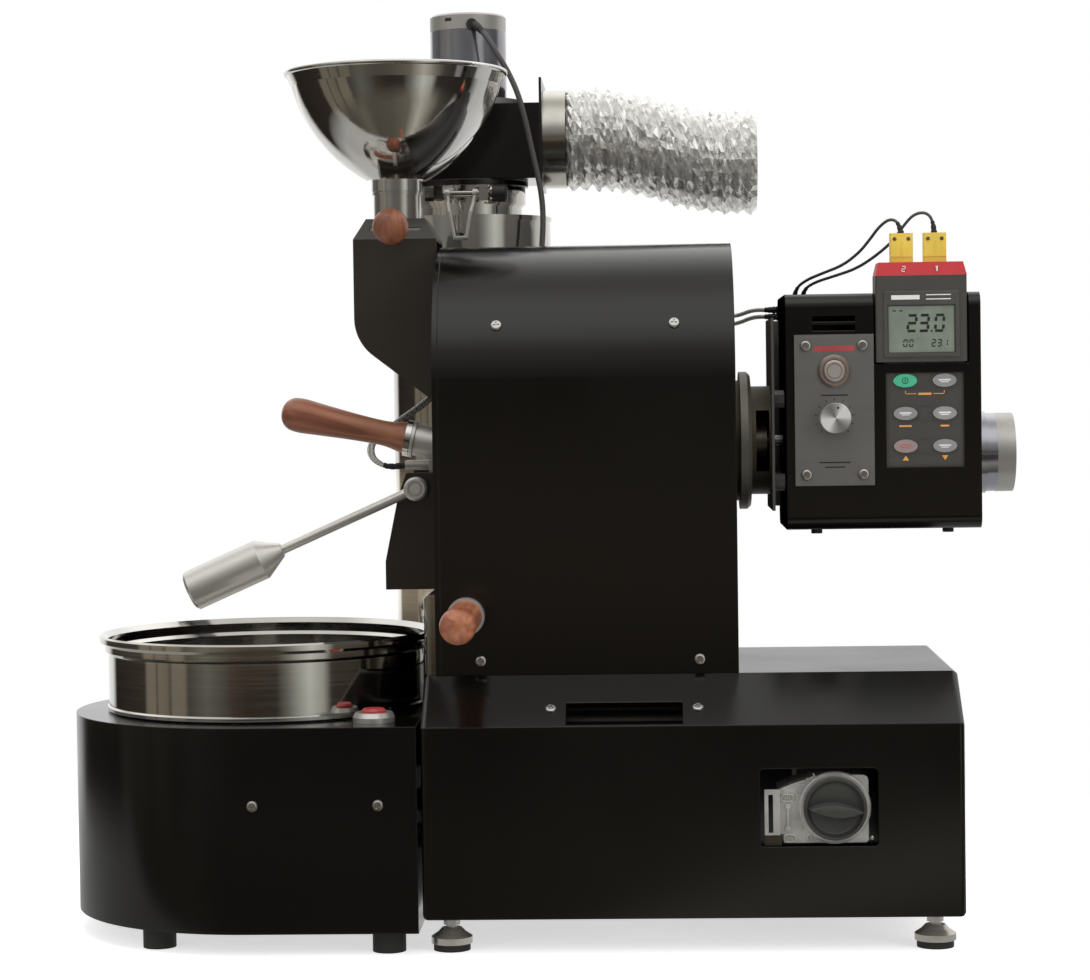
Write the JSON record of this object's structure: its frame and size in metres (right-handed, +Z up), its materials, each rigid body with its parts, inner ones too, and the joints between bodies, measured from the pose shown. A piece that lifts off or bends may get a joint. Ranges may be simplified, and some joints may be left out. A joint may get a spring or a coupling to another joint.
{
  "type": "gas coffee roaster",
  "caption": "Small gas drum coffee roaster on a black burner base, with hopper, weighted discharge door, cooling bin, chaff can, exhaust fan, foil duct and control box.",
  "frame": {"origin": "on the ground, under the middle of the machine's bounding box at rest", "axes": "+X from the cooling bin towards the drum motor, +Y from the operator's side to the back, +Z up"},
  "size_m": [0.688, 0.431, 0.6855],
  "materials": {
    "black_steel": "satin black powder coat",
    "polished_stainless": "polished stainless steel",
    "brushed_stainless": "brushed stainless steel",
    "zinc_steel": "bright zinc plating",
    "cast_iron": "as cast, oiled",
    "cast_aluminium": "die-cast",
    "wood": "oiled red-brown hardwood",
    "black_plastic": "moulded black",
    "meter_plastic": "dark grey moulding",
    "key_rubber": "moulded key caps",
    "yellow_plastic": "yellow plug shells",
    "red_plastic": "red lens",
    "rubber": "black rubber",
    "cable": "cable sheath",
    "braid": "woven glass and steel braid",
    "panel_metal": "brushed dark grey",
    "foil": "crinkled foil",
    "motor_paint": "black motor case",
    "steel": "heat-tinted mild steel"
  },
  "bodies": {
    "roaster": {"base_casing": "black_steel", "burner": "steel", "gas_valve_body": "cast_aluminium", "cooler_casing": "black_steel", "cooler_fan_motor": "motor_paint", "cooler_switch_body": "brushed_stainless", "rubber_feet": "rubber", "casing_screws": "zinc_steel", "levelling_feet": "zinc_steel", "drum_casing": "black_steel", "front_plate": "black_steel", "front_skirt": "polished_stainless", "shaft_bearings": "brushed_stainless", "bearing_housing": "cast_iron", "upper_chute": "black_steel", "discharge_chute": "black_steel", "sampler_guide": "brushed_stainless", "temperature_probes": "brushed_stainless", "probe_leads": "braid", "control_box": "black_steel", "box_bracket": "zinc_steel", "control_panel": "panel_metal", "drum_motor": "motor_paint", "thermometer": "meter_plastic", "thermocouple_plugs": "yellow_plastic", "plug_wires": "braid", "chaff_can": "polished_stainless", "fan_stack": "polished_stainless", "can_shelf": "black_steel", "fan_housing": "black_steel", "duct_collar": "brushed_stainless", "exhaust_duct": "foil", "fan_motor": "motor_paint", "fan_motor_lead": "cable"},
    "valve_knob": {"gas_valve_knob": "black_plastic"},
    "cooler_fan": {"cooler_fan": "black_plastic"},
    "bin": {"cooling_bin": "polished_stainless"},
    "cooler_button": {"cooler_switch_cap": "red_plastic"},
    "drum": {"drum": "steel"},
    "hopper": {"hopper_bowl": "polished_stainless"},
    "gate": {"gate_slide": "brushed_stainless", "gate_knob": "wood"},
    "door": {"discharge_door": "brushed_stainless", "weight_lever": "brushed_stainless"},
    "sampler_ring": {"sampler_ring": "brushed_stainless"},
    "sampler": {"sampler_tube": "polished_stainless", "sampler_handle": "wood"},
    "damper": {"damper_blade": "brushed_stainless", "damper_handle": "wood"},
    "power_button": {"power_button": "brushed_stainless"},
    "speed_knob": {"speed_knob": "cast_aluminium"},
    "clamp_screw": {"clamp_screw": "black_plastic"},
    "wire_clip": {"wire_clip": "brushed_stainless"},
    "exhaust_fan": {"exhaust_fan": "black_plastic"},
    "key_1": {"meter_key_1": "key_rubber"},
    "key_2": {"meter_key_2": "key_rubber"},
    "key_3": {"meter_key_3": "key_rubber"},
    "key_4": {"meter_key_4": "key_rubber"},
    "key_5": {"meter_key_5": "key_rubber"},
    "key_6": {"meter_key_6": "key_rubber"}
  },
  "joints": [
    {"name": "valve_turn", "type": "hinge", "parent": "roaster", "child": "valve_knob", "pos_m": [0.20415, -0.1587, 0.1], "axis": [0, -1, 0], "range_deg": [0, 90]},
    {"name": "cooler_fan_spin", "type": "hinge", "parent": "roaster", "child": "cooler_fan", "pos_m": [-0.20405, -0.0187, 0.066], "axis": [0, 0, 1], "continuous": true},
    {"name": "bin_slide_off", "type": "slide", "parent": "roaster", "child": "bin", "axis": [-1, 0, 0], "range_m": [0, 0.265]},
    {"name": "cooler_button_press", "type": "slide", "parent": "roaster", "child": "cooler_button", "axis": [0, 0, -1], "range_m": [0, 0.003], "stiffness_N_per_m": 400},
    {"name": "drum_spin", "type": "hinge", "parent": "roaster", "child": "drum", "pos_m": [0.01965, -0.0187, 0.3504], "axis": [1, 0, 0], "continuous": true},
    {"name": "hopper_lift", "type": "slide", "parent": "roaster", "child": "hopper", "axis": [0, 0, 1], "range_m": [0, 0.04]},
    {"name": "gate_pull", "type": "slide", "parent": "roaster", "child": "gate", "axis": [0, -1, 0], "range_m": [0, 0.038]},
    {"name": "door_swing", "type": "hinge", "parent": "roaster", "child": "door", "pos_m": [-0.08845, -0.0187, 0.3195], "axis": [0, 1, 0], "range_deg": [0, 35]},
    {"name": "sampler_pull", "type": "slide", "parent": "roaster", "child": "sampler_ring", "axis": [-0.9755, 0, 0.2198], "range_m": [0, 0.09]},
    {"name": "sampler_turn", "type": "hinge", "parent": "sampler_ring", "child": "sampler", "pos_m": [-0.09097, -0.0487, 0.35499], "axis": [-0.9755, 0, 0.2198], "range_deg": [0, 180]},
    {"name": "damper_pull", "type": "slide", "parent": "roaster", "child": "damper", "axis": [0, -1, 0], "range_m": [0, 0.06]},
    {"name": "power_press", "type": "slide", "parent": "roaster", "child": "power_button", "axis": [0, 1, 0], "range_m": [0, 0.0025], "stiffness_N_per_m": 400},
    {"name": "speed_turn", "type": "hinge", "parent": "roaster", "child": "speed_knob", "pos_m": [0.2116, -0.0837, 0.3665], "axis": [0, 1, 0], "range_deg": [0, 270]},
    {"name": "clamp_turn", "type": "hinge", "parent": "roaster", "child": "clamp_screw", "pos_m": [-0.06335, 0.103, 0.5426], "axis": [1, 0, 0], "continuous": true},
    {"name": "clip_swing", "type": "hinge", "parent": "roaster", "child": "wire_clip", "pos_m": [-0.06335, 0.103, 0.5426], "axis": [-1, 0, 0], "range_deg": [0, 100]},
    {"name": "exhaust_spin", "type": "hinge", "parent": "roaster", "child": "exhaust_fan", "pos_m": [-0.05935, 0.1513, 0.59], "axis": [0, 0, 1], "continuous": true},
    {"name": "key_1_press", "type": "slide", "parent": "roaster", "child": "key_1", "axis": [0, 1, 0], "range_m": [0, 0.0008], "stiffness_N_per_m": 400},
    {"name": "key_2_press", "type": "slide", "parent": "roaster", "child": "key_2", "axis": [0, 1, 0], "range_m": [0, 0.0008], "stiffness_N_per_m": 400},
    {"name": "key_3_press", "type": "slide", "parent": "roaster", "child": "key_3", "axis": [0, 1, 0], "range_m": [0, 0.0008], "stiffness_N_per_m": 400},
    {"name": "key_4_press", "type": "slide", "parent": "roaster", "child": "key_4", "axis": [0, 1, 0], "range_m": [0, 0.0008], "stiffness_N_per_m": 400},
    {"name": "key_5_press", "type": "slide", "parent": "roaster", "child": "key_5", "axis": [0, 1, 0], "range_m": [0, 0.0008], "stiffness_N_per_m": 400},
    {"name": "key_6_press", "type": "slide", "parent": "roaster", "child": "key_6", "axis": [0, 1, 0], "range_m": [0, 0.0008], "stiffness_N_per_m": 400}
  ]
}
